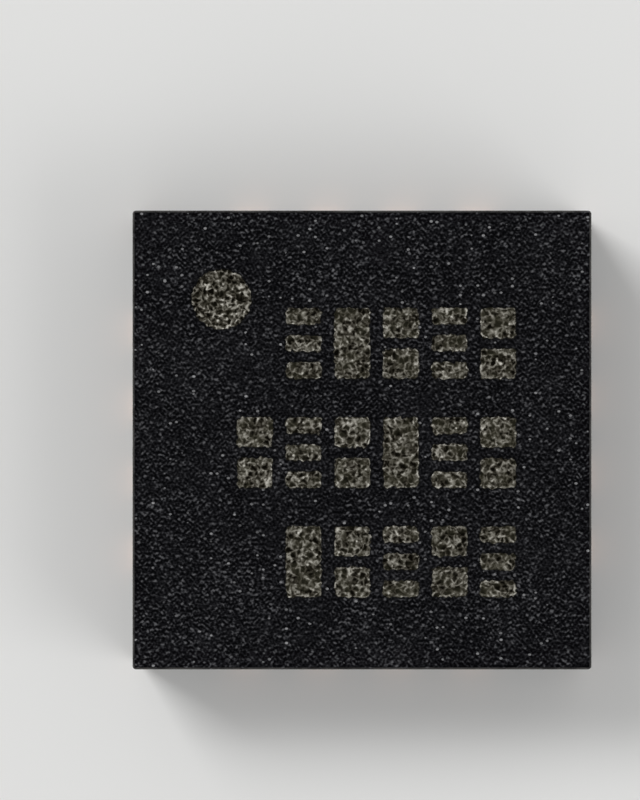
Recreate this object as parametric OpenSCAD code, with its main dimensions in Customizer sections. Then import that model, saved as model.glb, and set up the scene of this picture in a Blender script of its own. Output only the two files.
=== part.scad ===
// Backlight driver chip in a flat leadless package: a black moulded block round
// an etched leadframe, a silicon die and looped bond wires.
// Millimetres. The solder plane is z = 0, the marked face looks up, and the
// first lead is the upper one on the left side, counted counter-clockwise.

/* [Package] */
// Side length of the square package
body_w = 3; // [2.9:0.05:3.4]
// Height from the solder plane to the marked face
body_h = 0.75; // [0.65:0.05:1]
// Stand-off of the moulding above the solder plane
standoff = 0.02; // [0.01:0.005:0.04]
// Radius of the upright corners of the moulding
corner_r = 0.022; // [0.01:0.002:0.04]
// Bevel along the edges of the marked face
edge_bevel = 0.012; // [0.004:0.002:0.02]

/* [Leadframe] */
// Leads on each side
side_leads = 4; // [2:1:4]
// Distance between the centres of neighbouring leads
pitch = 0.5; // [0.42:0.02:0.54]
// Greatest width of a solder land
land_w = 0.26; // [0.2:0.01:0.28]
// Length of a solder land from the sawn edge
land_l = 0.4; // [0.34:0.01:0.44]
// Narrowing of each flank of a land at the sawn edge
land_neck = 0.012; // [0.004:0.002:0.03]
// Reach of the half etched finger past the nose of its land
finger_tip = 0.06; // [0.03:0.01:0.08]
// Lip of the half etched finger beside its land
finger_lip = 0.025; // [0.01:0.005:0.035]
// Distance from the sawn edge to the start of the lip
lip_start = 0.1; // [0.06:0.01:0.14]
// Thickness of the copper sheet
frame_t = 0.2; // [0.16:0.01:0.25]
// Thickness that half etching leaves at the upper side
half_t = 0.1; // [0.07:0.01:0.12]

/* [Exposed pad] */
// Side length of the exposed pad
pad_w = 1.65; // [1.5:0.05:1.7]
// Corner cut of the exposed pad towards the first lead
pad_cut = 0.3; // [0.15:0.05:0.4]
// Radius of the other corners of the pad
pad_r = 0.06; // [0.03:0.01:0.1]
// Width of the half etched rim round the pad
rim = 0.07; // [0.04:0.01:0.09]
// Width of the tie bars that run to the corners
tie_w = 0.15; // [0.1:0.01:0.17]

/* [Die] */
// Side length of the die
die_w = 1.2; // [1:0.05:1.35]
// Thickness of the die
die_t = 0.2; // [0.15:0.01:0.25]
// Thickness of the die attach
attach_t = 0.025; // [0.01:0.005:0.04]
// Reach of the die attach past the die
attach_out = 0.05; // [0.02:0.01:0.08]
// Width of a bond pad
bond_w = 0.08; // [0.07:0.005:0.1]
// Depth of a bond pad below the face of the die
bond_d = 0.004; // [0.002:0.001:0.008]
// Distance from the edge of the die to the centres of the bond pads
bond_in = 0.07; // [0.06:0.005:0.1]
// Distance from the corner of the die to its nearest bond pad, along the edge
bond_corner = 0.17; // [0.15:0.01:0.25]

/* [Bond wires] */
// Diameter of the wire
wire_d = 0.025; // [0.018:0.001:0.03]
// Diameter of the squashed ball
ball_d = 0.064; // [0.05:0.002:0.07]
// Height of the squashed ball
ball_h = 0.016; // [0.01:0.002:0.022]
// Height of the loop above the die
loop_h = 0.125; // [0.09:0.005:0.15]
// Width of the flattened tail
tail_w = 0.062; // [0.04:0.002:0.08]
// Length of the flattened tail
tail_l = 0.08; // [0.06:0.005:0.1]
// Thickness of the tail at its end
tail_t = 0.006; // [0.004:0.001:0.01]
// Distance from the finger's nose to the end of the tail
tail_in = 0.09; // [0.06:0.01:0.12]

/* [Marking] */
// Depth of the marked areas
mark_d = 0.015; // [0.005:0.005:0.03]
// Diameter of the dot beside the first lead
dot_d = 0.39; // [0.3:0.01:0.45]
// Distance from the package's edges to the centre of the dot
dot_in = 0.58; // [0.5:0.01:0.65]
// Width of a marked cell
cell_w = 0.24; // [0.2:0.01:0.28]
// Height of a marked cell
cell_h = 0.47; // [0.4:0.01:0.55]
// Distance between the centres of neighbouring cells
cell_pitch = 0.318; // [0.3:0.002:0.33]
// Distance between the centres of neighbouring rows
row_pitch = 0.714; // [0.65:0.01:0.75]
// Distance from the right edge of the package to the end of the rows
row_in = 0.49; // [0.4:0.01:0.6]
// Drop of the middle row below the centre of the package
row_drop = 0.082; // [0:0.002:0.12]
// Space between the stacked bars of a cell
bar_gap = 0.062; // [0.04:0.002:0.08]
// Radius of the corners of the bars
bar_r = 0.03; // [0.01:0.005:0.045]

/* [Hidden] */
// Stacked bars in each cell, row by row from the top
mark_rows = [[3, 1, 2, 3, 2], [2, 3, 2, 1, 3, 2], [1, 2, 3, 2, 3]];
sides = 4;
lead_count = sides * side_leads;
finger_l = land_l + finger_tip;
finger_w = land_w + 2 * finger_lip;
etch_z = frame_t - half_t;
attach_w = die_w + 2 * attach_out;
die_z = frame_t + attach_t;
die_top = die_z + die_t;
row_span = (side_leads - 1) * pitch;
// Bond pads spread along the die as the leads spread along the package
bond_spread = (die_w / 2 - bond_corner) / (row_span / 2);
// Reach of shapes that pass through a face
over = 0.05;
corner_steps = 4;
flank_steps = 4;
nose_steps = 12;
wire_sides = 8;
loop_steps = 10;

LEADS = [for (i = [1:lead_count]) str("lead_", i < 10 ? "0" : "", i)];
WIRES = [for (i = [1:lead_count]) str("bond_wire_", i < 10 ? "0" : "", i)];

// Plane geometry

function unit(v) = v / norm(v);

// Points on an arc about c, from angle a through a turn
function arc(c, r, a, turn, steps) =
    [for (i = [0:steps]) c + r * [cos(a + turn * i / steps), sin(a + turn * i / steps)]];

// A convex outline, counter-clockwise, with its corners rounded
function rounded(pts, r) =
    let (m = len(pts))
    [for (i = [0:m - 1])
        let (
            u = unit(pts[i] - pts[(i + m - 1) % m]),
            v = unit(pts[(i + 1) % m] - pts[i]),
            inward_u = [-u[1], u[0]],
            inward_v = [-v[1], v[0]],
            centre = pts[i] + r * (inward_u + inward_v) / (1 + inward_u * inward_v)
        )
        each arc(centre, r, atan2(-u[0], u[1]), atan2(cross(u, v), u * v), corner_steps)];

// Corners of a rectangle about the origin
function rectangle(w, h) = [[-w, -h], [w, -h], [w, h], [-w, h]] / 2;

// Corners of a square whose upper left corner is cut off
function cut_square(w, cut) =
    [[-w, -w] / 2, [w, -w] / 2, [w, w] / 2, [cut - w / 2, w / 2], [-w / 2, w / 2 - cut]];

// Outline of a lead that starts at x0, swells along its flanks and ends in a round nose
function blade(x0, length, width, neck) =
    let (
        r = width / 2,
        flank = [for (i = [0:flank_steps - 1])
            let (t = i / flank_steps) [x0 + t * (length - r - x0), r - neck * pow(1 - t, 2)]]
    )
    concat(
        [for (p = flank) [p[0], -p[1]]],
        arc([length - r, 0], r, -90, 180, nose_steps),
        [for (i = [1:flank_steps]) flank[flank_steps - i]]
    );

// Quarter turns about the centre of the package
function quarter_turned(p, q) =
    q == 0 ? p : quarter_turned([-p[1], p[0]], q - 1);

// Position of a lead along its side, the first of each side foremost
function along_side(i) = row_span / 2 - (i % side_leads) * pitch;

// Leadframe

module at_lead(i) {
    rotate([0, 0, 90 * floor(i / side_leads)])
        translate([-body_w / 2, along_side(i), 0])
            children();
}

module lead(i) {
    color("#cfcdc6")
        at_lead(i) {
            linear_extrude(frame_t)
                polygon(blade(0, land_l, land_w, land_neck));
            translate([0, 0, etch_z])
                linear_extrude(half_t)
                    polygon(blade(lip_start, finger_l, finger_w, finger_lip + land_neck));
        }
}

module die_paddle() {
    rim_cut = pad_cut + rim * (2 - sqrt(2));
    color("#c9c7c0") {
        linear_extrude(frame_t)
            polygon(rounded(cut_square(pad_w, pad_cut), pad_r));
        translate([0, 0, etch_z])
            linear_extrude(half_t)
                polygon(rounded(cut_square(pad_w + 2 * rim, rim_cut), pad_r));
        translate([0, 0, etch_z])
            linear_extrude(half_t)
                intersection() {
                    polygon(rounded(rectangle(body_w, body_w), corner_r));
                    union()
                        for (a = [45, 135])
                            rotate(a)
                                square([2 * body_w, tie_w], center = true);
                }
    }
}

// Die

module die_attach() {
    color("#a9a8a4")
        translate([0, 0, frame_t])
            linear_extrude(attach_t)
                polygon(rounded(rectangle(attach_w, attach_w), attach_out));
}

// Centre of the bond pad that serves a lead
function bond_at(i) =
    quarter_turned([bond_in - die_w / 2, bond_spread * along_side(i)], floor(i / side_leads));

module die() {
    color("#5d6570")
        difference() {
            translate([-die_w / 2, -die_w / 2, die_z])
                cube([die_w, die_w, die_t]);
            for (i = [0:lead_count - 1])
                translate([bond_at(i)[0] - bond_w / 2, bond_at(i)[1] - bond_w / 2, die_top - bond_d])
                    cube([bond_w, bond_w, bond_d + over]);
        }
}

// Bond wires: each is a row of eight-sided rings in an upright plane

// End of the tail of a wire on its finger
function tail_at(i) =
    quarter_turned([finger_l - tail_in - body_w / 2, along_side(i)], floor(i / side_leads));

function bezier(p, t) =
    pow(1 - t, 3) * p[0] + 3 * pow(1 - t, 2) * t * p[1] + 3 * (1 - t) * t * t * p[2] + pow(t, 3) * p[3];

function bezier_slope(p, t) =
    let (d = pow(1 - t, 2) * (p[1] - p[0]) + 2 * (1 - t) * t * (p[2] - p[1]) + t * t * (p[3] - p[2]))
    atan2(d[1], d[0]);

// Rings of a wire of a given span: distance, height, slope, half width and half thickness
function wire_rings(span) =
    let (
        foot = die_top - bond_d,
        neck = foot + ball_h + wire_d / 4,
        heel = [span - tail_l, frame_t + 0.9 * wire_d],
        loop = [[0, neck], [0, die_top + 1.6 * loop_h], [0.45 * span, die_top + 1.3 * loop_h], heel]
    )
    concat(
        [
            [0, foot, 90, 0.45 * ball_d, 0.45 * ball_d],
            [0, foot + 0.45 * ball_h, 90, ball_d / 2, ball_d / 2],
            [0, foot + ball_h, 90, 0.4 * ball_d, 0.4 * ball_d]
        ],
        [for (i = [0:loop_steps])
            let (t = i / loop_steps, p = bezier(loop, t))
            [p[0], p[1], bezier_slope(loop, t), wire_d / 2, wire_d / 2]],
        [
            [span - 0.7 * tail_l, frame_t + 0.3 * wire_d, 0, 0.7 * wire_d, 0.3 * wire_d],
            [span - 0.3 * tail_l, frame_t + tail_t, 0, tail_w / 2, tail_t],
            [span, frame_t + tail_t / 2, 0, 0.35 * tail_w, tail_t / 2]
        ]
    );

// Corners of one ring, in the upright plane that runs from start along the heading
function ring_points(ring, start, heading) =
    [for (j = [0:wire_sides - 1])
        let (
            flat = 1 / cos(180 / wire_sides),
            a = (j + 0.5) * 360 / wire_sides,
            side = ring[3] * flat * cos(a),
            up = ring[4] * flat * sin(a),
            along = ring[0] - up * sin(ring[2])
        )
        [
            start[0] + along * heading[0] - side * heading[1],
            start[1] + along * heading[1] + side * heading[0],
            ring[1] + up * cos(ring[2])
        ]];

module bond_wire(i) {
    start = bond_at(i);
    reach = tail_at(i) - start;
    rings = wire_rings(norm(reach));
    last = len(rings) - 1;
    color("#d8b35a")
        polyhedron(
            points = [for (ring = rings) each ring_points(ring, start, unit(reach))],
            faces = concat(
                [[for (j = [0:wire_sides - 1]) j]],
                [for (k = [0:last - 1], j = [0:wire_sides - 1])
                    let (a = k * wire_sides + j, b = k * wire_sides + (j + 1) % wire_sides)
                    each [[a, a + wire_sides, b], [b, a + wire_sides, b + wire_sides]]],
                [[for (j = [0:wire_sides - 1]) last * wire_sides + wire_sides - 1 - j]]
            )
        );
}

// Moulding

// Upright section of the block with its upper edges bevelled
module bevelled_section() {
    linear_extrude(2 * body_w, center = true)
        polygon([
            [-body_w / 2 - over, 0],
            [body_w / 2 + over, 0],
            [body_w / 2 + over, body_h - edge_bevel - over],
            [body_w / 2 - edge_bevel, body_h],
            [edge_bevel - body_w / 2, body_h],
            [-body_w / 2 - over, body_h - edge_bevel - over]
        ]);
}

// Stacked bars in place of one character
module mark_cell(bars) {
    bar_h = (cell_h - (bars - 1) * bar_gap) / bars;
    for (k = [0:bars - 1])
        translate([0, (k - (bars - 1) / 2) * (bar_h + bar_gap)])
            polygon(rounded(rectangle(cell_w, bar_h), bar_r));
}

module marking() {
    color("#6a6450")
        translate([0, 0, body_h - mark_d]) {
            translate([dot_in - body_w / 2, body_w / 2 - dot_in])
                cylinder(h = mark_d + over, d = dot_d, $fn = 48);
            for (r = [0:len(mark_rows) - 1], c = [0:len(mark_rows[r]) - 1])
                translate([
                    body_w / 2 - row_in - cell_w / 2 - (len(mark_rows[r]) - 1 - c) * cell_pitch,
                    (1 - r) * row_pitch - row_drop
                ])
                    linear_extrude(mark_d + over)
                        mark_cell(mark_rows[r][c]);
        }
}

module mould_body() {
    color("#1a1a1e")
        difference() {
            intersection() {
                translate([0, 0, standoff])
                    linear_extrude(body_h)
                        polygon(rounded(rectangle(body_w, body_w), corner_r));
                rotate([90, 0, 0])
                    bevelled_section();
                rotate([90, 0, 90])
                    bevelled_section();
            }
            marking();
            die_paddle();
            die_attach();
            die();
            for (i = [0:lead_count - 1]) {
                lead(i);
                bond_wire(i);
            }
        }
}

mould_body();
die_paddle();
die_attach();
die();
for (i = [0:lead_count - 1]) {
    lead(i);
    bond_wire(i);
}
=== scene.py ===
"""Looks of the backlight driver chip: a black moulded package with laser marked
bars on its face and tin plated lands under it.

Meshes are worked out in millimetres and scaled to metres at the end, because the
tolerances of Blender's mesh tools suit that size better.
"""

import math

import bmesh
import bpy
import numpy as np
from mathutils import Matrix


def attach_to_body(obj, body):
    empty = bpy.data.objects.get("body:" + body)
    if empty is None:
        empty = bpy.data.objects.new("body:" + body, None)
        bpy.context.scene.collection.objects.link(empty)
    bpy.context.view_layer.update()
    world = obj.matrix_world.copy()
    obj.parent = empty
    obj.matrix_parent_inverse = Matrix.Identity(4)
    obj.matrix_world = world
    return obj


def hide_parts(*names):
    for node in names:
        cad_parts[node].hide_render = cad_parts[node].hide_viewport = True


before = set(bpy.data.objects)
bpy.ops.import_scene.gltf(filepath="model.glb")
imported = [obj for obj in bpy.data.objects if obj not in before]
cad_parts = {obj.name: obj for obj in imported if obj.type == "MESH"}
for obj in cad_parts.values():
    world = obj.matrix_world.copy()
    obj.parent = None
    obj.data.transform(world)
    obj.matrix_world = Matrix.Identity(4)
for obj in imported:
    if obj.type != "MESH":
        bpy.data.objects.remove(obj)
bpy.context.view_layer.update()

MM = 0.001

# The photograph's frame in its pixels, and the centre and side of the chip's face
PHOTO_W, PHOTO_H = 640, 800
FACE_CENTRE_PX = (362, 440)
FACE_SIDE_PX = 459

# The camera's lens, the longer side of its sensor, and its reach in metres
LENS_MM, SENSOR_MM = 200, 36
CLIP_START, CLIP_END = 0.001, 2

# The block in millimetres, as part.scad has it: half its side, the heights of its
# marked face and its underside, its upper edges' bevel and its corners' radius
HALF = 1.5
TOP = 0.75
UNDERSIDE = 0.02
EDGE = 0.012
CORNER = 0.022

# The leads there: their spacing, half a land's width, its length, how much each of
# its flanks narrows at the sawn edge, and how many leads there are
PITCH = 0.5
LAND_HALF_W, LAND_L, LAND_NECK = 0.13, 0.4, 0.012
LEADS = 16

# The heights there of the leadframe and the die, and how deep the bond pads lie
FRAME_TOP = 0.2
DIE_TOP, BOND_DEPTH = 0.425, 0.004

# Points that lie this near to each other are one, and a point that lies this near
# to a plane is on it, in millimetres
DOUBLED, NEAR = 1e-5, 1e-4

# Parts of a unit normal: a level face has more than the first along z, an upright
# one less than the second, and an outer wall more than the third along x or y
LEVEL_Z, UPRIGHT_Z, SIDEWAYS = 0.9, 0.2, 0.6

# Angles in radians: under the first the copper counts as flat, and over the others
# an edge is sharp, on the copper and on a wire
FLAT_COPPER, SHARP_COPPER, SHARP_WIRE = 0.01, 1, 1.2

# The rough face: its cells inside the rim and across it. Its rounded edges go down
# to one height, and the CAD walls are cut off at the other
FACE_CELLS, RIM_CELLS = 284, 4
JOIN_Z, CUT_Z = 0.70, 0.69

# The loops of the face and the walls begin just before the lower left corner: the
# turn from there to the x axis
LOOP_TURN = 0.7501 * math.pi

# Noise on the rough face: wavelengths in millimetres, seeds, and how far the peaks
# are drawn out along x
WAVER_SLOW, WAVER_FAST = (0.07, 1), (0.035, 2)
PEAKS, SWELLS = (0.05, 3, 1.3), (0.14, 4)
PITS, CHIPS = (0.055, 5), (0.045, 6)

# How strong the swells are beside the peaks, and between which levels of the noise
# the face rises and the pits deepen
SWELL_SHARE = 0.35
PEAK_LEVELS, PIT_LEVELS = (-0.4, 1.8), (0.1, 1.2)

# Tilts of the rounded edges' steps in degrees, and the depth of the chips in them
# before it is cut off at nought: its mean and its deviation
EDGE_TILTS = (30, 60, 90)
CHIP_MEAN, CHIP_SPREAD = 0.0006, 0.0012

# Depths of the face's relief, of the marks and of the pits in their floors
RELIEF, MARK_DEPTH, PIT_DEPTH = 0.0016, 0.013, 0.004

# The marks' outlines: how far they are drawn in, except the dot's, how far slow and
# fast noise move them, where their walls begin and end, and how far outside them the
# distance to them is worked out
MARK_INSET = 0.004
MARK_SLOW, MARK_FAST = 0.003, 0.0035
MARK_WALL = (-0.005, 0.007)
MARK_MARGIN = 0.06

# The dot's centre, how far its own looks reach, and how softly they end. It is burnt
# finer than the bars, with more contrast about this level of its web, and with less
# of their hem and olive tint
DOT_AT, DOT_REACH, DOT_SOFT = (-0.92, 0.92, 0), 0.21, 0.01
DOT_FINER, DOT_CONTRAST, DOT_LEVEL, DOT_PLAIN = 0.04, 0.17, 0.55, 0.7

# Cells of the epoxy's grain in a millimetre, a whole number of them up to the face,
# and how bent they are. They lie in faint rows, this far apart and this strong. Then
# the level that the grain has about, and the one that it is brought to. On the face
# its pale spots stand partly for painted glints
GRAIN_SCALE, GRAIN_BEND = 50 / TOP, 0.3
GRAIN_STEP, GRAIN_ROWS = 0.0188, 0.17
GRAIN_FROM, GRAIN_TO = 0.31, 0.52

# How high the tin reaches on the sawn ends, how softly it ends, and how far it rounds
# the edges of the soldered side
PLATE_TOP, PLATE_SOFT, PLATE_ROUND = 0.01, 0.0015, 0.007

# How far out the leadframe's silver ring begins and ends, how far noise moves that,
# and where its soft edges begin and end after it
SILVER_IN, SILVER_OUT = 0.906, 1.232
SILVER_WAVER, SILVER_NEAR, SILVER_FAR = 0.02, 0.004, 0.016

# How far out the die's seal ring begins and ends, each as a soft edge
SEAL_IN, SEAL_OUT = (0.572, 0.576), (0.586, 0.590)

# The bake's map, with sides of 1: a millimetre of the face and the sides on it, and
# one of the underside. Then the width of a ring of the rounded edge in millimetres,
# and the room that the rings have beside the face
MAP_SCALE, MAP_UNDER_SCALE = 0.217, 0.109
MAP_RING = 0.01
MAP_ROOM = MAP_RING * 3

# Where the sides and the underside begin on it, and the step from side to side
MAP_SHELF, MAP_SHELF_STEP = 0.67, 0.165

# Where the walls of the hollows begin on it, half the width of a patch of them, the
# step from patch to patch, and how far all of them are lifted
MAP_HOLLOW, MAP_HOLLOW_HALF = 0.762, 0.024
MAP_HOLLOW_STEP, MAP_HOLLOW_LIFT = 0.05, 0.02

# The moulding's materials, in their order
FACE_KIND, SIDE_KIND, UNDER_KIND = 0, 1, 2

# Colours of the bare face, whose pale specks are partly filler and partly painted
# glints, and of the burnt marks, each at a level of their grain
EPOXY_AND_GLINT_TONES = (
    (0.24, (0.0008, 0.0008, 0.0013)),
    (0.44, (0.0068, 0.0068, 0.0081)),
    (0.52, (0.0128, 0.0129, 0.0147)),
    (0.62, (0.0290, 0.0292, 0.0320)),
    (0.74, (0.059, 0.0594, 0.0632)),
    (0.88, (0.095, 0.0955, 0.1005)),
)
BURNT_TONES = (
    (0.24, (0.002, 0.0015, 0.0006)),
    (0.40, (0.0170, 0.0150, 0.0103)),
    (0.52, (0.0455, 0.0412, 0.0312)),
    (0.64, (0.101, 0.0950, 0.0775)),
    (0.78, (0.228, 0.218, 0.187)),
    (0.88, (0.37, 0.357, 0.315)),
    (1.00, (0.58, 0.565, 0.51)),
)

# Painted highlight along the upper edges, on the face and the sides
EDGE_HIGHLIGHT_EPOXY = (0.068, 0.0665, 0.064)

# The floor: how far it reaches in metres, its colour and roughness, and how pale it
# looks in the distance
FLOOR_REACH = 0.4
FLOOR_COLOUR, FLOOR_ROUGHNESS = (0.8, 0.8, 0.79), 0.9
FLOOR_LEVEL = 0.76

# Rise of the sky's directions between which it darkens, and its strength overhead
SKY_LOW, SKY_HIGH = 0.05, 0.9
SKY_OVERHEAD = 0.25


# Meshes


def in_mm(node):
    """The CAD mesh of a node in millimetres, with its doubled points joined."""
    bm = bmesh.new()
    bm.from_mesh(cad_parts[node].data)
    bm.transform(Matrix.Scale(1 / MM, 4))
    bmesh.ops.remove_doubles(bm, verts=bm.verts, dist=DOUBLED)
    return bm


def settle(name, mesh, node, materials):
    """Scales a mesh to metres and puts it in the place of its CAD node."""
    mesh.transform(Matrix.Scale(MM, 4))
    for material in materials:
        mesh.materials.append(material)
    mesh.update()
    piece = bpy.data.objects.new(name, mesh)
    bpy.context.scene.collection.objects.link(piece)
    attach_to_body(piece, "root")
    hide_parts(node)
    return piece


def smoothstep(value, low, high):
    """Eases from 0 to 1 as the value goes from low to high."""
    t = np.clip((value - low) / (high - low), 0, 1)
    return t * t * (3 - 2 * t)


class Grain:
    """Seamless noise of one wavelength over a square tile, with a deviation of 1."""

    CELLS, STEP, WIDTH = 512, 0.008, 0.35

    def __init__(self, wavelength, seed, stretch=1.0):
        white = np.random.default_rng(seed).standard_normal((self.CELLS, self.CELLS))
        turns = np.fft.fftfreq(self.CELLS, self.STEP)
        reach = np.hypot(turns[:, None], turns[None, :] * stretch) * wavelength
        band = np.exp(-((reach - 1) ** 2) / (2 * self.WIDTH**2))
        field = np.fft.ifft2(np.fft.fft2(white) * band).real
        self.field = field / field.std()

    def at(self, x, y):
        """Values at points, which change evenly from cell to cell."""
        u, v = x / self.STEP, y / self.STEP
        i, j = np.floor(v).astype(int), np.floor(u).astype(int)
        s, t = v - i, u - j
        near, far = i % self.CELLS, (i + 1) % self.CELLS
        left, right = j % self.CELLS, (j + 1) % self.CELLS
        low = self.field[near, left] * (1 - t) + self.field[near, right] * t
        high = self.field[far, left] * (1 - t) + self.field[far, right] * t
        return low * (1 - s) + high * s


# Moulding


def mark_outlines(bm):
    """Closed outlines of the marked areas, from the floors of the CAD pockets."""
    floors = {
        f
        for f in bm.faces
        if f.normal.z > LEVEL_Z and JOIN_Z < f.calc_center_median().z < TOP - NEAR
    }
    steps = {}
    for f in floors:
        for loop in f.loops:
            if sum(g in floors for g in loop.edge.link_faces) == 1:
                steps[loop.vert] = loop.link_loop_next.vert
    outlines = []
    while steps:
        start, here = steps.popitem()
        points = [start.co.xy]
        while here is not start:
            points.append(here.co.xy)
            here = steps.pop(here)
        outlines.append(np.array(points))
    return outlines


def depth_inside(outlines, x, y):
    """Distance of points to the nearest outline: positive inside, and never under
    -MARK_MARGIN."""
    found = np.full(x.shape, -MARK_MARGIN)
    for outline in outlines:
        low, high = outline.min(0) - MARK_MARGIN, outline.max(0) + MARK_MARGIN
        near = (x > low[0]) & (x < high[0]) & (y > low[1]) & (y < high[1])
        px, py = x[near][:, None], y[near][:, None]
        a, b = outline, np.roll(outline, -1, 0)
        d = b - a
        t = ((px - a[:, 0]) * d[:, 0] + (py - a[:, 1]) * d[:, 1]) / (d**2).sum(1)
        t = np.clip(t, 0, 1)
        gap = np.hypot(px - a[:, 0] - t * d[:, 0], py - a[:, 1] - t * d[:, 1]).min(1)
        spans = (a[:, 1] > py) != (b[:, 1] > py)
        rise = np.where(d[:, 1] == 0, 1, d[:, 1])
        crossed = spans & (px < a[:, 0] + (py - a[:, 1]) * d[:, 0] / rise)
        inside = crossed.sum(1) % 2 == 1
        found[near] = np.maximum(found[near], np.where(inside, gap, -gap))
    return found


def face_grid():
    """Points of the flat face, row by row, with the rim finer and the corners round."""
    inner = HALF - CORNER
    rim = np.linspace(inner, HALF - EDGE, RIM_CELLS + 1)[1:]
    middle = np.linspace(-inner, inner, FACE_CELLS + 1)
    lines = np.concatenate([-rim[::-1], middle, rim])
    x, y = np.meshgrid(lines, lines)
    reach = HALF - EDGE - inner
    p = np.clip((abs(x) - inner) / reach, 0, 1)
    q = np.clip((abs(y) - inner) / reach, 0, 1)
    x = np.where(p > 0, np.sign(x) * (inner + reach * p * np.sqrt(1 - q * q / 2)), x)
    y = np.where(q > 0, np.sign(y) * (inner + reach * q * np.sqrt(1 - p * p / 2)), y)
    return x, y


def grid_faces(n):
    """Quads of an n by n grid of points."""
    at = np.arange(n * n).reshape(n, n)
    quads = [at[:-1, :-1], at[:-1, 1:], at[1:, 1:], at[1:, :-1]]
    return np.stack(quads, -1).reshape(-1, 4).tolist()


def rim_loop(n):
    """Indices of the points round an n by n grid, counter-clockwise."""
    at = np.arange(n * n).reshape(n, n)
    sides = [at[0, :-1], at[:-1, -1], at[-1, :0:-1], at[:0:-1, 0]]
    return np.concatenate(sides)


def band_faces(upper, lower):
    """Quads between two loops of as many points."""
    ahead_u, ahead_l = np.roll(upper, -1), np.roll(lower, -1)
    return np.stack([upper, lower, ahead_l, ahead_u], -1).tolist()


def zip_faces(upper, upper_turn, lower, lower_turn):
    """Triangles between two loops, each with the turn at which its points lie."""
    faces, i, j = [], 0, 0
    ends_u = np.append(upper_turn[1:], math.tau)
    ends_l = np.append(lower_turn[1:], math.tau)
    while i < len(upper) or j < len(lower):
        a, c = upper[i % len(upper)], lower[j % len(lower)]
        if j == len(lower) or (i < len(upper) and ends_u[i] <= ends_l[j]):
            i += 1
            faces.append([a, c, upper[i % len(upper)]])
        else:
            j += 1
            faces.append([a, c, lower[j % len(lower)]])
    return faces


def turn_of(points):
    """Turn of points about the package's centre, counter-clockwise from just before
    its lower left corner."""
    turn = np.arctan2(points[:, 1], points[:, 0]) + LOOP_TURN
    return turn % math.tau


def rough_face(bm):
    """Points and faces of the face and its rounded edges, the depth in the marks, the
    places on the map, and the loop of the lowest points."""
    x, y = face_grid()
    n = len(x)
    near_dot = np.hypot(x - DOT_AT[0], y - DOT_AT[1]) < DOT_REACH + MARK_INSET
    inside = depth_inside(mark_outlines(bm), x, y)
    inside -= np.where(near_dot, 0, MARK_INSET)
    slow, fast = Grain(*WAVER_SLOW).at(x, y), Grain(*WAVER_FAST).at(x, y)
    inside += MARK_SLOW * slow + MARK_FAST * fast
    peaks = Grain(*PEAKS).at(x, y) + SWELL_SHARE * Grain(*SWELLS).at(x, y)
    dip = RELIEF * (1 - smoothstep(peaks, *PEAK_LEVELS))
    pits = PIT_DEPTH * smoothstep(abs(Grain(*PITS).at(x, y)), *PIT_LEVELS)
    share = smoothstep(inside, *MARK_WALL)
    z = TOP - dip * (1 - share) - (MARK_DEPTH - PIT_DEPTH + pits) * share
    z += TOP - z.max()

    points = [np.stack([x, y, z], -1).reshape(-1, 3)]
    loop = rim_loop(n)
    edge = points[0][loop]
    inner = HALF - CORNER
    out = np.sign(edge[:, :2]) * np.maximum(abs(edge[:, :2]) - inner, 0)
    out /= np.linalg.norm(out, axis=1)[:, None]
    chips = CHIP_SPREAD * Grain(*CHIPS).at(edge[:, 0], edge[:, 1])
    chips = np.maximum(chips + CHIP_MEAN, 0)
    faces, start = grid_faces(n), n * n
    for tilt in EDGE_TILTS:
        reach = EDGE * math.sin(math.radians(tilt)) - chips * (tilt < 90)
        fall = EDGE * (1 - math.cos(math.radians(tilt)))
        flat = edge[:, :2] + out * reach[:, None]
        points.append(np.column_stack([flat, TOP - fall - chips]))
        lower = start + np.arange(len(loop))
        faces += band_faces(loop, lower)
        loop, start = lower, start + len(lower)
    lower = start + np.arange(len(loop))
    faces += band_faces(loop, lower)
    flat = edge[:, :2] + out * EDGE
    points.append(np.column_stack([flat, np.full(len(loop), JOIN_Z)]))
    marks = np.full(start + len(lower), -MARK_MARGIN)
    marks[: n * n] = inside.ravel()
    rings = range(1, len(EDGE_TILTS) + 2)
    spread = [points[0][:, :2], *(edge[:, :2] + out * MAP_RING * i for i in rings)]
    return np.concatenate(points), faces, marks, np.concatenate(spread), lower


def cut_walls(bm):
    """The CAD moulding below its upper edges, with the loop of points at the cut."""
    cut = bmesh.ops.bisect_plane(
        bm,
        geom=[*bm.verts, *bm.edges, *bm.faces],
        plane_co=(0, 0, CUT_Z),
        plane_no=(0, 0, 1),
        clear_outer=True,
    )
    bm.verts.index_update()
    loop = [v.index for v in cut["geom_cut"] if isinstance(v, bmesh.types.BMVert)]
    points = np.array([v.co for v in bm.verts])
    faces = [[v.index for v in f.verts] for f in bm.faces]
    return points, faces, np.array(loop)


def moulding(materials):
    """The block: the rough face and its rounded edges, joined to the CAD walls."""
    bm = in_mm("mould_body")
    points, faces, marks, spread, lower = rough_face(bm)
    wall_points, wall_faces, cut = cut_walls(bm)
    bm.free()
    start = len(points)
    cut_turn, face_turn = turn_of(wall_points[cut]), turn_of(points[lower])
    order, first = np.argsort(cut_turn), np.argsort(face_turn)
    seam = zip_faces(
        lower[first], face_turn[first], start + cut[order], cut_turn[order]
    )
    faces = faces + seam + [[start + i for i in f] for f in wall_faces]
    points = np.concatenate([points, wall_points])
    mesh = bpy.data.meshes.new("moulding")
    mesh.from_pydata(points.tolist(), [], faces)
    mesh.validate()
    depth = mesh.attributes.new("mark", "FLOAT", "POINT")
    values = np.full(len(mesh.vertices), -MARK_MARGIN)
    values[:start] = marks
    depth.data.foreach_set("value", values.astype(np.float32))
    sort_faces(mesh)
    lay_map(mesh, np.concatenate([spread, wall_points[:, :2]]))
    settle("moulding", mesh, "mould_body", materials)


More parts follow.
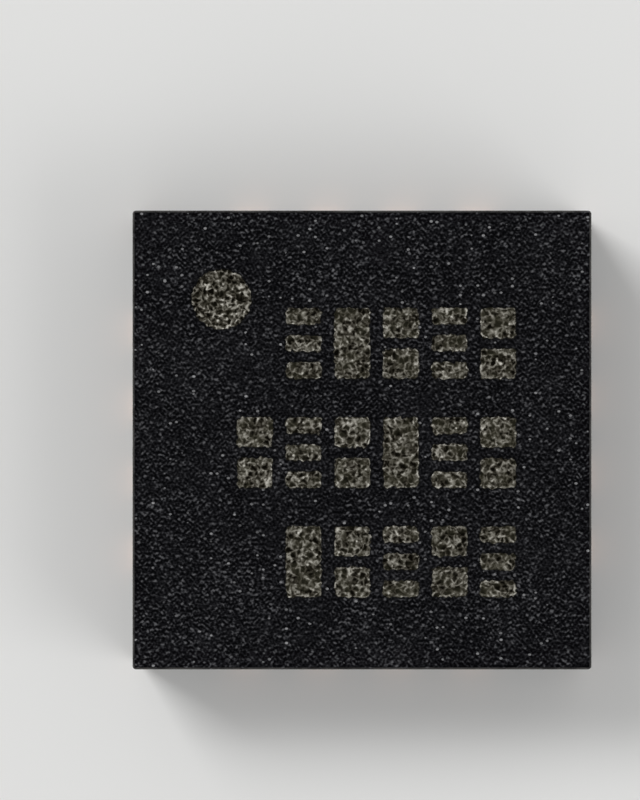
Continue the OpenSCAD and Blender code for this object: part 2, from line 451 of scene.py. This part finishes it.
def sort_faces(mesh):
    """Gives the faces their material: face, sawn side or underside."""
    for f in mesh.polygons:
        high = f.center.z > CUT_Z
        f.use_smooth = high
        if f.center.z > TOP - EDGE or (high and f.normal.z > UPRIGHT_Z):
            f.material_index = FACE_KIND
        elif f.normal.z < -LEVEL_Z and f.center.z < UNDERSIDE + NEAR:
            f.material_index = UNDER_KIND
        else:
            f.material_index = SIDE_KIND


def read_mesh(items, key, kind, width=1):
    """One property of all items of a mesh."""
    values = np.empty(len(items) * width, kind)
    items.foreach_get(key, values)
    return values.reshape(-1, width) if width > 1 else values


def lay_map(mesh, spread):
    """The bake's map: the face large, then the sides, the underside and the inside."""
    sizes = read_mesh(mesh.polygons, "loop_total", int)
    owner = np.repeat(np.arange(len(sizes)), sizes)
    kind = read_mesh(mesh.polygons, "material_index", int)[owner]
    normal = read_mesh(mesh.polygons, "normal", float, 3)[owner]
    centre = read_mesh(mesh.polygons, "center", float, 3)[owner]
    corner = read_mesh(mesh.loops, "vertex_index", int)
    x, y, z = read_mesh(mesh.vertices, "co", float, 3)[corner].T

    facing = np.stack([normal[:, 0], normal[:, 1], -normal[:, 0], -normal[:, 1]])
    side = facing.argmax(0)
    reach = abs(centre[:, :2]).max(1)
    outer = (facing.max(0) > SIDEWAYS) & (abs(normal[:, 2]) < UPRIGHT_Z)
    outer &= (kind == SIDE_KIND) & (reach > HALF - CORNER)
    along = np.choose(side, (y, -x, -y, x)) + HALF
    rise = z * MAP_SCALE
    upright = side % 2 == 1
    shelf = MAP_SHELF + MAP_SHELF_STEP * (side // 2)
    on_side = np.where(
        upright, (shelf + rise, along * MAP_SCALE), (along * MAP_SCALE, shelf + rise)
    )
    on_face = (spread[corner] + HALF + MAP_ROOM).T * MAP_SCALE
    below = MAP_SHELF + (np.stack([x, y]) + HALF) * MAP_UNDER_SCALE
    # Walls of the hollows lie in the hole that the pad leaves in the underside
    turned = (abs(normal) == abs(normal).max(1)[:, None]).argmax(1)
    across = np.stack([np.choose(turned, (y, x, x)), np.choose(turned, (z, z, y))])
    back = (normal[np.arange(len(turned)), turned] < 0).astype(float)
    inside = MAP_HOLLOW + MAP_HOLLOW_HALF * (across / HALF + 1)
    patch = [turned * MAP_HOLLOW_STEP, back * MAP_HOLLOW_STEP + MAP_HOLLOW_LIFT]
    inside += np.stack(patch)

    places = np.where(outer, on_side, inside)
    places = np.where(kind == UNDER_KIND, below, places)
    places = np.where(kind == FACE_KIND, on_face, places)
    layer = mesh.uv_layers.new(name="OFBake")
    layer.data.foreach_set("uv", places.T.ravel().astype(np.float32))


# Leadframe and wires


def on_saw_plane(point):
    """Whether a point lies on one of the block's four sawn planes."""
    return max(abs(point.x), abs(point.y)) > HALF - NEAR


def etched(name, node, materials):
    """A lead or the paddle, with the soldered side's edges rounded by the plating."""
    bm = in_mm(node)
    bmesh.ops.dissolve_limit(
        bm, angle_limit=FLAT_COPPER, verts=bm.verts, edges=bm.edges
    )
    rim = [
        e
        for e in bm.edges
        if all(v.co.z < NEAR for v in e.verts)
        and e.calc_face_angle(0) > SHARP_COPPER
        and not all(on_saw_plane(v.co) for v in e.verts)
    ]
    bmesh.ops.bevel(
        bm, geom=rim, offset=PLATE_ROUND, segments=3, profile=0.5, affect="EDGES"
    )
    bmesh.ops.triangulate(bm, faces=[f for f in bm.faces if len(f.verts) > 4])
    for f in bm.faces:
        sawn = all(on_saw_plane(v.co) for v in f.verts)
        f.material_index = int(sawn and abs(f.normal.z) < UPRIGHT_Z)
    mesh = bpy.data.meshes.new(name)
    bm.to_mesh(mesh)
    bm.free()
    settle(name, mesh, node, materials)


def wire(name, node, material):
    """A bond wire, round and smooth, with sharp edges round its flat ends."""
    bm = in_mm(node)
    bmesh.ops.join_triangles(
        bm,
        faces=bm.faces,
        angle_face_threshold=math.radians(60),
        angle_shape_threshold=math.radians(180),
    )
    crease = bm.edges.layers.float.new("crease_edge")
    for e in bm.edges:
        e[crease] = float(e.calc_face_angle(0) > SHARP_WIRE)
    mesh = bpy.data.meshes.new(name)
    bm.to_mesh(mesh)
    bm.free()
    for f in mesh.polygons:
        f.use_smooth = True
    piece = settle(name, mesh, node, [material])
    rounder = piece.modifiers.new("rounder", "SUBSURF")
    rounder.levels = rounder.render_levels = 1


# Materials


class Shader:
    """Builds the nodes of one material. Most calls add a node and return its output."""

    def __init__(self, name):
        self.material = bpy.data.materials.new(name)
        self.material.use_nodes = True
        self.tree = self.material.node_tree
        self.surface = self.tree.nodes["Principled BSDF"]

    def put(self, socket, value):
        """Links an output to a socket, or sets the socket's own value."""
        if isinstance(value, bpy.types.NodeSocket):
            self.tree.links.new(value, socket)
        else:
            socket.default_value = value

    def node(self, kind, values, out=0, **settings):
        """Adds a node with these inputs and settings, and returns one output."""
        made = self.tree.nodes.new(kind)
        for key, value in settings.items():
            setattr(made, key, value)
        for key, value in values.items():
            self.put(made.inputs[key], value)
        return made.outputs[out]

    def math(self, operation, a, b=0.0, c=0.0):
        """One step of arithmetic on up to three numbers."""
        return self.node("ShaderNodeMath", {0: a, 1: b, 2: c}, operation=operation)

    def place(self):
        """The place on the part, in millimetres."""
        return self.times(self.node("ShaderNodeTexCoord", {}, "Object"), 1 / MM)

    def parts(self, vector):
        """The three numbers of a vector or a colour."""
        apart = self.tree.nodes.new("ShaderNodeSeparateXYZ")
        self.put(apart.inputs[0], vector)
        return apart.outputs

    def times(self, vector, amount):
        """The vector times one number."""
        values = {"Vector": vector, "Scale": amount}
        return self.node("ShaderNodeVectorMath", values, operation="SCALE")

    def scaled(self, vector, x, y, z):
        """The vector times a number for each axis."""
        values = {0: vector, 1: (x, y, z)}
        return self.node("ShaderNodeVectorMath", values, operation="MULTIPLY")

    def shifted(self, vector, step):
        """The vector plus a step."""
        return self.node("ShaderNodeVectorMath", {0: vector, 1: step}, operation="ADD")

    def moved(self, vector, amount, scale):
        """The place, shifted each way by noise."""
        values = {0: self.noise(vector, scale, out="Color"), 1: (0.5, 0.5, 0.5)}
        centred = self.node("ShaderNodeVectorMath", values, operation="SUBTRACT")
        return self.shifted(vector, self.times(centred, amount))

    def noise(self, vector, scale, detail=1.0, distortion=0.0, out=0):
        """Noise with that many cells in a unit of the vector."""
        values = {
            "Vector": vector,
            "Scale": scale,
            "Detail": detail,
            "Distortion": distortion,
        }
        return self.node("ShaderNodeTexNoise", values, out)

    def voronoi(self, vector, scale, feature="F1", out=0):
        """Cells about scattered points, with that many in a unit of the vector."""
        values = {"Vector": vector, "Scale": scale}
        return self.node("ShaderNodeTexVoronoi", values, out, feature=feature)

    def bricks(self, vector, width, height, gap, dark, pale):
        """Rows of blocks, each of a tone between two, on a dark ground."""
        values = {
            "Vector": vector,
            "Color1": (*dark, 1),
            "Color2": (*pale, 1),
            "Mortar": (0.02, 0.02, 0.022, 1),
            "Scale": 1.0,
            "Mortar Size": gap,
            "Brick Width": width,
            "Row Height": height,
        }
        return self.node("ShaderNodeTexBrick", values, squash=0.7, squash_frequency=3)

    def smooth(self, value, low, high, start=0.0, end=1.0):
        """The value eased from start to end, as it goes from low to high."""
        values = {0: value, 1: low, 2: high, 3: start, 4: end}
        return self.node("ShaderNodeMapRange", values, interpolation_type="SMOOTHSTEP")

    def mix(self, share, a, b):
        """From colour a to colour b."""
        a, b = (c if isinstance(c, bpy.types.NodeSocket) else (*c, 1) for c in (a, b))
        return self.node("ShaderNodeMix", {0: share, 6: a, 7: b}, 2, data_type="RGBA")

    def tones(self, value, dark, pale, low=0.3, high=0.7):
        """From the dark colour to the pale one, as the value goes from low to high."""
        return self.mix(self.smooth(value, low, high), dark, pale)

    def ramp(self, share, stops):
        """Colours that follow each other, as pairs of a place and a colour."""
        made = self.tree.nodes.new("ShaderNodeValToRGB")
        spots = made.color_ramp.elements
        while len(spots) < len(stops):
            spots.new(0.5)
        for spot, (position, colour) in zip(spots, stops, strict=True):
            spot.position, spot.color = position, (*colour, 1)
        self.put(made.inputs[0], share)
        return made.outputs[0]

    def bump(self, height, distance):
        """Bumps that rise by the height times a distance in millimetres."""
        values = {"Height": height, "Distance": distance * MM}
        return self.node("ShaderNodeBump", values)

    def finish(self, **values):
        """Puts values on the surface's sockets, with _ for a space in their names."""
        for key, value in values.items():
            self.put(self.surface.inputs[key.replace("_", " ")], value)
        return self.material


def fine_grain_and_glints(s, place):
    """Fine grain of the filled epoxy: even spots over noise, drawn out a little
    sideways, in faint rows. On the face its pale spots stand partly for painted glints."""
    drawn = s.scaled(place, 0.85, 1.0, 1.0)
    spots = s.voronoi(s.moved(drawn, 0.014, 30), 28)
    speckle = s.smooth(spots, 0.05, 0.5, 0.21, -0.14)
    cells = s.noise(drawn, GRAIN_SCALE, 0.0, GRAIN_BEND)
    speckle = s.math("MULTIPLY_ADD", cells, 0.97, speckle)
    for step in (-GRAIN_STEP, GRAIN_STEP):
        beside = s.noise(s.shifted(drawn, (0, step, 0)), GRAIN_SCALE, 0.0, GRAIN_BEND)
        speckle = s.math("MULTIPLY_ADD", beside, -GRAIN_ROWS, speckle)
    depth = s.smooth(s.noise(place, 6, 1), 0.3, 0.7, 0.8, 1.15)
    centred = s.math("SUBTRACT", speckle, GRAIN_FROM)
    return s.math("MULTIPLY_ADD", centred, depth, GRAIN_TO)


def discs_of_grains_and_glints(s, place, scale, share):
    """Discs in that share of the cells: filler on the sides, beads in the marks and
    painted glints on the face. How much of one, and how pale.
    """
    pale = s.parts(s.voronoi(place, scale, out="Color"))[0]
    disc = s.smooth(s.voronoi(place, scale), 0.2, 0.34, 1.0, 0.0)
    shown = s.smooth(pale, 1 - share - 0.02, 1 - share + 0.02)
    return s.math("MULTIPLY", disc, s.math("MULTIPLY", shown, pale))


def thread_web(s, place, depth, hem_share):
    """Threads and beads that the laser left in the marks, the dark pores between them,
    and a broken pale hem along the outlines."""
    edges = s.voronoi(s.moved(place, 0.04, 28), 22, "DISTANCE_TO_EDGE")
    web = s.smooth(edges, 0.0, 0.32, 0.15, -0.19)
    web = s.math("ADD", s.noise(place, 33, 0.4, 0.7), web)
    beads = discs_of_grains_and_glints(s, place, 34, 0.4)
    web = s.math("MULTIPLY_ADD", beads, 0.22, web)
    begun, ended = s.smooth(depth, 0.0, 0.005), s.smooth(depth, 0.006, 0.013, 1.0, 0.0)
    hem = s.math("MULTIPLY", s.math("MULTIPLY", begun, ended), hem_share)
    broken = s.smooth(s.noise(place, 24, 1), 0.42, 0.58, 0.0, 0.16)
    return s.math("MULTIPLY_ADD", hem, broken, web)


def from_edge(s, place):
    """How far out a point lies from the package's centre, along x or y, whichever is
    more."""
    x, y, _ = s.parts(place)
    return s.math("MAXIMUM", s.math("ABSOLUTE", x), s.math("ABSOLUTE", y))


def from_lane(s, place):
    """How far a point lies beside the middle line of the nearest land."""
    x, y, _ = s.parts(place)
    along = s.math("MINIMUM", s.math("ABSOLUTE", x), s.math("ABSOLUTE", y))
    lane = s.math("ABSOLUTE", s.math("SUBTRACT", along, PITCH))
    return s.math("ABSOLUTE", s.math("SUBTRACT", lane, PITCH / 2))


def in_dot(s, place):
    """One in the dot and nought away from it."""
    values = {0: s.scaled(place, 1, 1, 0), 1: DOT_AT}
    away = s.node("ShaderNodeVectorMath", values, "Value", operation="DISTANCE")
    return s.smooth(away, DOT_REACH, DOT_REACH + DOT_SOFT, 1.0, 0.0)


def mould_face():
    """Marked face: filled epoxy with pale grains and painted glints, marks burnt by a
    laser, and a painted highlight along its upper edges.
    """
    glint, soot = (0.40, 0.402, 0.41), (0.002, 0.002, 0.0022)
    olive = (0.065, 0.063, 0.040)
    s = Shader("mould_face")
    place = s.place()
    depth = s.node("ShaderNodeAttribute", {}, "Fac", attribute_name="mark")
    out = from_edge(s, place)
    speckle = fine_grain_and_glints(s, place)
    bare = s.smooth(out, HALF - 0.040, HALF - 0.022, 0.0, 0.05)
    patch = s.smooth(s.noise(place, 1.7, 1), 0.3, 0.7, 0.022, -0.022)
    level = s.math("SUBTRACT", speckle, s.math("ADD", bare, patch))
    # Pale discs that stand for painted glints of light on the rough face
    drawn = s.scaled(place, 0.8, 1.05, 1.0)
    glints = s.math("MULTIPLY", discs_of_grains_and_glints(s, drawn, 33, 0.07), s.noise(place, 20, 1))
    epoxy = s.mix(glints, s.ramp(level, EPOXY_AND_GLINT_TONES), glint)

    dot = in_dot(s, place)
    finer = s.math("MULTIPLY_ADD", dot, DOT_FINER, 1.0)
    plainer = s.math("MULTIPLY_ADD", dot, -DOT_PLAIN, 1.0)
    web = thread_web(s, s.times(place, finer), depth, plainer)
    stretch = s.math("MULTIPLY", dot, DOT_CONTRAST)
    web = s.math("MULTIPLY_ADD", stretch, s.math("SUBTRACT", web, DOT_LEVEL), web)
    tint = s.smooth(s.noise(place, 13, 1), 0.42, 0.62, 0.0, 0.2)
    tint = s.math("MULTIPLY", tint, plainer)
    burnt = s.mix(tint, s.ramp(web, BURNT_TONES), olive)

    marked = s.smooth(depth, -0.003, 0.004)
    scorched = s.smooth(depth, -0.020, -0.004, 0.0, 0.55)
    colour = s.mix(marked, s.mix(scorched, epoxy, soot), burnt)
    # A painted highlight along the face's upper edges, uneven along them
    edge_highlight = s.smooth(out, HALF - 0.014, HALF - 0.009)
    uneven = s.smooth(s.noise(place, 9, 2), 0.3, 0.65, 0.4, 1.0)
    colour = s.mix(s.math("MULTIPLY", edge_highlight, uneven), colour, EDGE_HIGHLIGHT_EPOXY)
    high = s.math("MULTIPLY", web, marked)
    low = s.math("MULTIPLY", speckle, s.math("SUBTRACT", 1.0, marked))
    return s.finish(
        Base_Color=colour,
        Roughness=s.smooth(marked, 0, 1, 0.55, 0.85),
        Specular_IOR_Level=0.03,
        Normal=s.bump(s.math("ADD", high, low), 0.004),
    )


def mould_side():
    """Sawn side: fine level saw lines, filler grains that the blade cut through, and
    copper smeared beside the leads."""
    dark, pale = (0.010, 0.010, 0.012), (0.027, 0.027, 0.030)
    filler, copper = (0.12, 0.12, 0.125), (0.20, 0.12, 0.085)
    s = Shader("mould_side")
    place = s.place()
    lines = s.noise(s.scaled(place, 1.6, 1.6, 170), 1.0, 2)
    sweeps = s.noise(s.scaled(place, 0.5, 0.5, 16), 1.0, 2)
    dust = s.noise(place, 70, 1)
    coarse, fine = discs_of_grains_and_glints(s, place, 24, 0.28), discs_of_grains_and_glints(s, place, 52, 0.24)
    grains = s.math("MAXIMUM", coarse, fine)
    swept = s.math("MULTIPLY", sweeps, 0.25)
    tone = s.math("ADD", s.math("MULTIPLY", lines, 0.5), swept)
    tone = s.math("ADD", tone, s.math("MULTIPLY", dust, 0.25))
    ground = s.tones(tone, dark, pale, 0.36, 0.64)
    colour = s.mix(s.math("MULTIPLY", grains, 0.75), ground, filler)
    z = s.parts(place)[2]
    lane = from_lane(s, place)
    beside = s.smooth(lane, LAND_HALF_W + 0.004, LAND_HALF_W + 0.05, 1.0, 0.0)
    below = s.smooth(z, FRAME_TOP - 0.008, FRAME_TOP, 1.0, 0.0)
    smear = s.math("MULTIPLY", beside, below)
    smear = s.math("MULTIPLY", smear, s.smooth(lines, 0.46, 0.66, 0.0, 0.5))
    smear = s.math("MULTIPLY", smear, s.smooth(s.noise(place, 9, 1), 0.42, 0.62))
    colour = s.mix(smear, colour, copper)
    # A painted highlight along the sides' upper edges
    colour = s.mix(s.smooth(z, TOP - 0.014, TOP - 0.008), colour, EDGE_HIGHLIGHT_EPOXY)
    height = s.math("ADD", tone, s.math("MULTIPLY", grains, 0.3))
    return s.finish(
        Base_Color=colour,
        Roughness=s.smooth(grains, 0.0, 0.8, 0.62, 0.45),
        Specular_IOR_Level=0.25,
        Normal=s.bump(height, 0.002),
    )


def from_lands(s, place):
    """Distance to the outline of the nearest land, as if it didn't narrow, in
    millimetres, and negative inside it."""
    out, lane = from_edge(s, place), from_lane(s, place)
    nose = HALF - LAND_L + LAND_HALF_W
    past = s.math("MAXIMUM", s.math("SUBTRACT", nose, out), 0.0)
    squares = s.math("ADD", s.math("POWER", past, 2.0), s.math("POWER", lane, 2.0))
    return s.math("SUBTRACT", s.math("SQRT", squares), LAND_HALF_W)


def mould_underside():
    """Underside: smooth epoxy with short streaks along y, a dark line round each land,
    and a painted highlight along its edges."""
    dark, pale = (0.0008, 0.0008, 0.0018), (0.0200, 0.0200, 0.0235)
    filler, shade = (0.06, 0.06, 0.066), (0.002, 0.002, 0.002)
    underside_edge_highlight = (0.11, 0.108, 0.105)
    s = Shader("mould_underside")
    place = s.place()
    wavering = s.moved(place, 0.03, 7)
    streaks = s.noise(s.scaled(wavering, 42, 14, 1), 1.0, 1)
    sweeps = s.noise(s.scaled(wavering, 16, 1.5, 1), 1.0, 2)
    streaks = s.math("MULTIPLY_ADD", sweeps, 0.45, s.math("MULTIPLY", streaks, 0.55))
    grains = s.smooth(fine_grain_and_glints(s, place), 0.5, 0.8)
    ground = s.tones(streaks, dark, pale, 0.34, 0.66)
    colour = s.mix(s.math("MULTIPLY", grains, 0.2), ground, filler)
    halo = s.smooth(from_lands(s, place), 0.006, 0.036, 1.0, 0.0)
    colour = s.mix(s.math("MULTIPLY", halo, 0.85), colour, shade)
    # A painted highlight along the underside's edges
    edge_highlight = s.smooth(from_edge(s, place), HALF - 0.012, HALF - 0.007, 0.0, 0.7)
    colour = s.mix(edge_highlight, colour, underside_edge_highlight)
    return s.finish(
        Base_Color=colour,
        Roughness=s.smooth(streaks, 0.3, 0.7, 0.46, 0.62),
        Specular_IOR_Level=0.12,
        Normal=s.bump(s.math("ADD", streaks, s.math("MULTIPLY", grains, 0.5)), 0.002),
    )


def tin(s, place):
    """Colour and relief of the matt tin plating, brushed along y and nicked along the
    lands' outlines."""
    dull, bright = (0.725, 0.717, 0.694), (0.87, 0.862, 0.838)
    grey, stained = (0.64, 0.632, 0.604), (0.66, 0.643, 0.597)
    nicked = (0.17, 0.165, 0.15)
    lines = s.noise(s.scaled(place, 56, 2.0, 1.4), 1.0, 3)
    crystal = s.parts(s.voronoi(place, 75, out="Color"))[0]
    stain = s.smooth(s.noise(place, 5, 3), 0.35, 0.7)
    colour = s.tones(lines, dull, bright)
    colour = s.mix(s.math("MULTIPLY", crystal, 0.25), colour, grey)
    colour = s.mix(s.math("MULTIPLY", stain, 0.3), colour, stained)
    outline = s.math("ABSOLUTE", from_lands(s, place))
    border = s.smooth(outline, 0.006, 0.016, 0.7, 0.0)
    nicks = s.math("MULTIPLY", border, s.smooth(s.noise(place, 34, 1), 0.56, 0.68))
    relief = s.math("ADD", lines, s.math("MULTIPLY", crystal, 0.25))
    return s.mix(nicks, colour, nicked), relief


def etched_copper():
    """Leads and paddle: tin plated below the moulding, bare and etched inside it, and
    silvered in a ring where the wires are bonded."""
    dark, pale = (0.60, 0.315, 0.205), (0.74, 0.43, 0.30)
    tarnish = (0.46, 0.22, 0.135)
    dull_silver, pale_silver = (0.52, 0.51, 0.485), (0.68, 0.67, 0.64)
    s = Shader("etched_copper")
    place = s.place()
    height = s.parts(place)[2]
    plating, relief = tin(s, place)
    pitting = s.noise(place, 48, 2)
    mottle = s.smooth(s.noise(place, 7, 3), 0.35, 0.68)
    bare = s.mix(s.math("MULTIPLY", mottle, 0.5), s.tones(pitting, dark, pale), tarnish)
    waver = s.noise(place, 12, 2)
    out = s.math("MULTIPLY_ADD", waver, SILVER_WAVER, from_edge(s, place))
    begun = s.smooth(out, SILVER_IN + SILVER_NEAR, SILVER_IN + SILVER_FAR)
    ended = s.smooth(out, SILVER_OUT + SILVER_NEAR, SILVER_OUT + SILVER_FAR, 1.0, 0.0)
    upper = s.smooth(height, FRAME_TOP - 0.0012, FRAME_TOP - 0.0004)
    ring = s.math("MULTIPLY", s.math("MULTIPLY", begun, ended), upper)
    bare = s.mix(ring, bare, s.tones(pitting, dull_silver, pale_silver))
    plated = s.smooth(height, UNDERSIDE - PLATE_SOFT, UNDERSIDE + PLATE_SOFT, 1.0, 0.0)
    rough = s.smooth(s.math("MAXIMUM", plated, ring), 0, 1, 0.42, 0.6)
    heights = {0: plated, 2: pitting, 3: relief}
    return s.finish(
        Base_Color=s.mix(plated, bare, plating),
        Metallic=1.0,
        Roughness=s.math("ADD", rough, s.math("MULTIPLY", relief, 0.12)),
        Normal=s.bump(s.node("ShaderNodeMix", heights, data_type="FLOAT"), 0.002),
    )


def sawn_copper():
    """Sawn ends: level saw lines, a dark line along their sides and top, and the tin's
    edge at the foot."""
    dark, pale = (0.43, 0.235, 0.15), (0.60, 0.35, 0.235)
    tarnish, groove = (0.30, 0.16, 0.105), (0.10, 0.055, 0.038)
    cut_tin = (0.755, 0.747, 0.721)
    s = Shader("sawn_copper")
    place = s.place()
    height = s.parts(place)[2]
    lines = s.noise(s.scaled(place, 3, 3, 150), 1.0, 3)
    stain = s.smooth(s.noise(place, 6, 3), 0.35, 0.7)
    copper = s.mix(s.math("MULTIPLY", stain, 0.5), s.tones(lines, dark, pale), tarnish)
    flank = s.math("SUBTRACT", from_lane(s, place), LAND_HALF_W - LAND_NECK)
    above = s.math("SUBTRACT", height, FRAME_TOP)
    rim = s.math("MINIMUM", s.math("ABSOLUTE", flank), s.math("ABSOLUTE", above))
    copper = s.mix(s.smooth(rim, 0.002, 0.011, 0.75, 0.0), copper, groove)
    plated = s.smooth(height, PLATE_TOP - PLATE_SOFT, PLATE_TOP + PLATE_SOFT, 1.0, 0.0)
    rough = s.smooth(plated, 0, 1, 0.44, 0.6)
    return s.finish(
        Base_Color=s.mix(plated, copper, cut_tin),
        Metallic=1.0,
        Roughness=s.math("MULTIPLY_ADD", lines, 0.12, rough),
        Normal=s.bump(lines, 0.002),
    )


def gold():
    """Bond wire: drawn gold, with faint marks from the capillary."""
    s = Shader("gold_wire")
    place = s.place()
    marks = s.noise(place, 70, 3)
    return s.finish(
        Base_Color=s.mix(marks, (0.78, 0.50, 0.16), (0.95, 0.70, 0.30)),
        Metallic=1.0,
        Roughness=s.smooth(marks, 0.3, 0.7, 0.18, 0.32),
        Normal=s.bump(marks, 0.0008),
    )


def silicon():
    """Die: blocks and rows of circuits, a seal ring, aluminium pads and sawn sides."""
    seal, aluminium = (0.42, 0.41, 0.38), (0.75, 0.75, 0.74)
    ground_dark, ground_pale = (0.085, 0.09, 0.105), (0.17, 0.18, 0.20)
    s = Shader("silicon_die")
    place = s.place()
    height = s.parts(place)[2]
    dark, pale = (0.05, 0.07, 0.075), (0.14, 0.115, 0.125)
    blocks = s.bricks(place, 0.31, 0.19, 0.004, dark, pale)
    dark, pale = (0.035, 0.05, 0.05), (0.19, 0.17, 0.16)
    cells = s.bricks(place, 0.052, 0.034, 0.002, dark, pale)
    dark, pale = (0.04, 0.05, 0.05), (0.27, 0.255, 0.225)
    rows = s.bricks(place, 0.021, 0.011, 0.0016, dark, pale)
    lines = s.noise(s.scaled(place, 90, 6, 1), 1.0, 2)
    patches = s.smooth(s.noise(place, 3.5, 1), 0.42, 0.5, 0.2, 0.6)
    circuit = s.mix(patches, blocks, cells)
    circuit = s.mix(s.smooth(lines, 0.35, 0.65, 0.2, 0.5), circuit, rows)
    out = from_edge(s, place)
    begun, ended = s.smooth(out, *SEAL_IN), s.smooth(out, *SEAL_OUT, 1.0, 0.0)
    circuit = s.mix(s.math("MULTIPLY", begun, ended), circuit, seal)
    grinding = s.noise(s.scaled(place, 4, 4, 110), 1.0, 2)
    sawn = s.tones(grinding, ground_dark, ground_pale)
    colour = s.mix(s.smooth(height, DIE_TOP - 0.001, DIE_TOP - 0.0004), sawn, circuit)
    floor_z = DIE_TOP - BOND_DEPTH
    over = s.smooth(height, floor_z - 0.0005, floor_z - 0.0002)
    under = s.smooth(height, floor_z + 0.0002, floor_z + 0.0005, 1.0, 0.0)
    return s.finish(
        Base_Color=s.mix(s.math("MULTIPLY", over, under), colour, aluminium),
        Metallic=0.6,
        Roughness=s.smooth(lines, 0.3, 0.7, 0.2, 0.32),
    )


def attach():
    """Die attach: epoxy filled with silver flakes."""
    s = Shader("die_attach")
    place = s.place()
    flake = s.parts(s.voronoi(place, 70, out="Color"))[0]
    return s.finish(
        Base_Color=s.mix(flake, (0.30, 0.29, 0.27), (0.62, 0.61, 0.58)),
        Metallic=0.7,
        Roughness=s.smooth(flake, 0, 1, 0.35, 0.65),
        Normal=s.bump(flake, 0.003),
    )


# Stage


def floor():
    """A plain pale floor at the solder plane."""
    mesh = bpy.data.meshes.new("floor")
    low, high = -FLOOR_REACH, FLOOR_REACH
    corners = [(low, low, 0), (high, low, 0), (high, high, 0), (low, high, 0)]
    mesh.from_pydata(corners, [], [(0, 1, 2, 3)])
    s = Shader("floor")
    mesh.materials.append(
        s.finish(Base_Color=(*FLOOR_COLOUR, 1), Roughness=FLOOR_ROUGHNESS)
    )
    ground = bpy.data.objects.new("floor", mesh)
    bpy.context.scene.collection.objects.link(ground)


def sky():
    """Studio world: pale at the horizon and darker overhead. Where it is seen or
    mirrored, it is as pale at the horizon as the floor."""
    world = bpy.data.worlds.new("studio")
    bpy.context.scene.world = world
    world.use_nodes = True
    tree = world.node_tree
    way = tree.nodes.new("ShaderNodeTexCoord")
    apart = tree.nodes.new("ShaderNodeSeparateXYZ")
    level = tree.nodes.new("ShaderNodeMapRange")
    tree.links.new(way.outputs["Generated"], apart.inputs[0])
    tree.links.new(apart.outputs[2], level.inputs["Value"])
    level.inputs["From Min"].default_value = SKY_LOW
    level.inputs["From Max"].default_value = SKY_HIGH
    level.inputs["To Max"].default_value = SKY_OVERHEAD
    rays = tree.nodes.new("ShaderNodeLightPath").outputs
    seen = rays["Is Camera Ray"]
    for kind in ("Is Glossy Ray", "Is Transmission Ray"):
        either = tree.nodes.new("ShaderNodeMath")
        either.operation = "MAXIMUM"
        tree.links.new(seen, either.inputs[0])
        tree.links.new(rays[kind], either.inputs[1])
        seen = either.outputs[0]
    pale = tree.nodes.new("ShaderNodeMath")
    pale.operation = "MULTIPLY_ADD"
    tree.links.new(seen, pale.inputs[0])
    pale.inputs[1].default_value, pale.inputs[2].default_value = FLOOR_LEVEL - 1, 1
    tree.links.new(pale.outputs[0], level.inputs["To Min"])
    light = tree.nodes["Background"].inputs
    light["Color"].default_value = (1, 1, 1, 1)
    tree.links.new(level.outputs[0], light["Strength"])


def lamp(name, place, size, watts):
    """A soft square lamp that shines on the chip. Its place and size are in
    millimetres."""
    light = bpy.data.lights.new(name, "AREA")
    light.size, light.energy = size * MM, watts
    thing = bpy.data.objects.new(name, light)
    bpy.context.scene.collection.objects.link(thing)
    thing.location = [c * MM for c in place]
    thing.rotation_euler = (-thing.location).to_track_quat("-Z", "Y").to_euler()


def camera():
    """Looks straight down at the face, as far off its centre as the photograph."""
    lens = bpy.data.cameras.new("camera")
    lens.lens, lens.sensor_width = LENS_MM, SENSOR_MM
    lens.clip_start, lens.clip_end = CLIP_START, CLIP_END
    scale = FACE_SIDE_PX / (2 * HALF)
    above = PHOTO_H * LENS_MM / SENSOR_MM / scale
    eye = bpy.data.objects.new("camera", lens)
    bpy.context.scene.collection.objects.link(eye)
    eye.location = (
        (PHOTO_W / 2 - FACE_CENTRE_PX[0]) / scale * MM,
        (FACE_CENTRE_PX[1] - PHOTO_H / 2) / scale * MM,
        (TOP + above) * MM,
    )
    bpy.context.scene.camera = eye


camera()
sky()
floor()
lamp("key", (-130, 130, 160), size=100, watts=0.32)
lamp("fill", (160, -80, 100), size=140, watts=0.13)

moulding([mould_face(), mould_side(), mould_underside()])
copper = [etched_copper(), sawn_copper()]
etched("paddle", "die_paddle", copper)
gilt = gold()
for number in range(1, LEADS + 1):
    etched(f"plated_lead_{number:02d}", f"lead_{number:02d}", copper)
    wire(f"round_wire_{number:02d}", f"bond_wire_{number:02d}", gilt)
for node, material in (("die", silicon()), ("die_attach", attach())):
    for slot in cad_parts[node].material_slots:
        slot.material = material

bpy.context.scene.view_settings.view_transform = "Standard"
